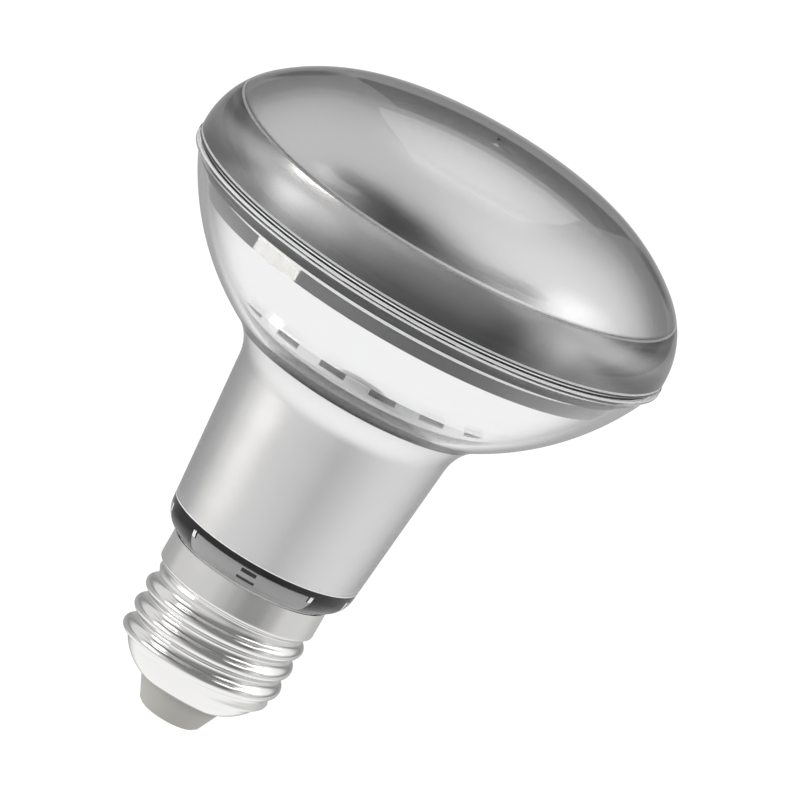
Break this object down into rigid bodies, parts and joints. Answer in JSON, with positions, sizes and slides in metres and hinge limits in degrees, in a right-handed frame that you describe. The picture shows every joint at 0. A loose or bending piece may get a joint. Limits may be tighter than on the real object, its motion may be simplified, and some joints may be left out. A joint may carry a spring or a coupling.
{
  "type": "reflector bulb",
  "caption": "Reflector lamp: a clear blown glass bowl round a mirror bowl, a frosted domed front, a tapered neck and a rolled screw cap with an insulated end contact.",
  "frame": {"origin": "tip of the centre contact, on the lamp's axis", "axes": "+Z along the lamp's axis from the centre contact to the front glass; the side lead lies along +X, and the driver board stands in the XZ plane"},
  "size_m": [0.0803, 0.0802, 0.104],
  "materials": {
    "bright_nickel": "nickel-plated sheet, bright",
    "contact_brass": "nickel-plated brass, slightly dull",
    "insulator": "moulded, warm grey, matt",
    "cement": "cast cement, matt",
    "clear_glass": "clear blown glass",
    "bead": "dark adhesive bead",
    "frosted_glass": "pressed glass, smooth outside and satin inside",
    "mirror_metal": "bright mirror",
    "sleeve_aluminium": "satin",
    "board_core": "white lacquered top",
    "chip_package": "yellow phosphor under clear resin",
    "screw_steel": "zinc-plated",
    "white_plastic": "moulded, white",
    "board_laminate": "green laminate",
    "capacitor_can": "sleeved can",
    "capacitor_film": "dipped film capacitor",
    "ferrite": "sintered, dark grey",
    "copper_wire": "enamelled copper wire",
    "choke_sleeve": "shrink sleeve",
    "black_package": "moulded package",
    "resistor_body": "lacquered",
    "disc_ceramic": "lacquered disc",
    "resistor_chip": "fired, black top",
    "tinned_wire": "tinned copper wire"
  },
  "bodies": {
    "root": {"cap_shell": "bright_nickel", "centre_contact": "contact_brass", "cap_insulator": "insulator", "cap_cement": "cement", "glass_body": "clear_glass", "seam_bead": "bead", "front_glass": "frosted_glass", "reflector": "mirror_metal", "neck_sleeve": "sleeve_aluminium", "led_board": "board_core", "led_chips": "chip_package", "board_screws": "screw_steel", "board_plug": "white_plastic", "driver_cup": "white_plastic", "driver_board": "board_laminate", "electrolytic_capacitor": "capacitor_can", "film_capacitor": "capacitor_film", "transformer_core": "ferrite", "transformer_winding": "copper_wire", "choke": "choke_sleeve", "bridge_rectifier": "black_package", "driver_chip": "black_package", "fuse_resistor": "resistor_body", "surge_disc": "disc_ceramic", "chip_resistors": "resistor_chip", "centre_lead": "tinned_wire", "side_lead": "tinned_wire", "led_leads": "tinned_wire"}
  },
  "joints": []
}
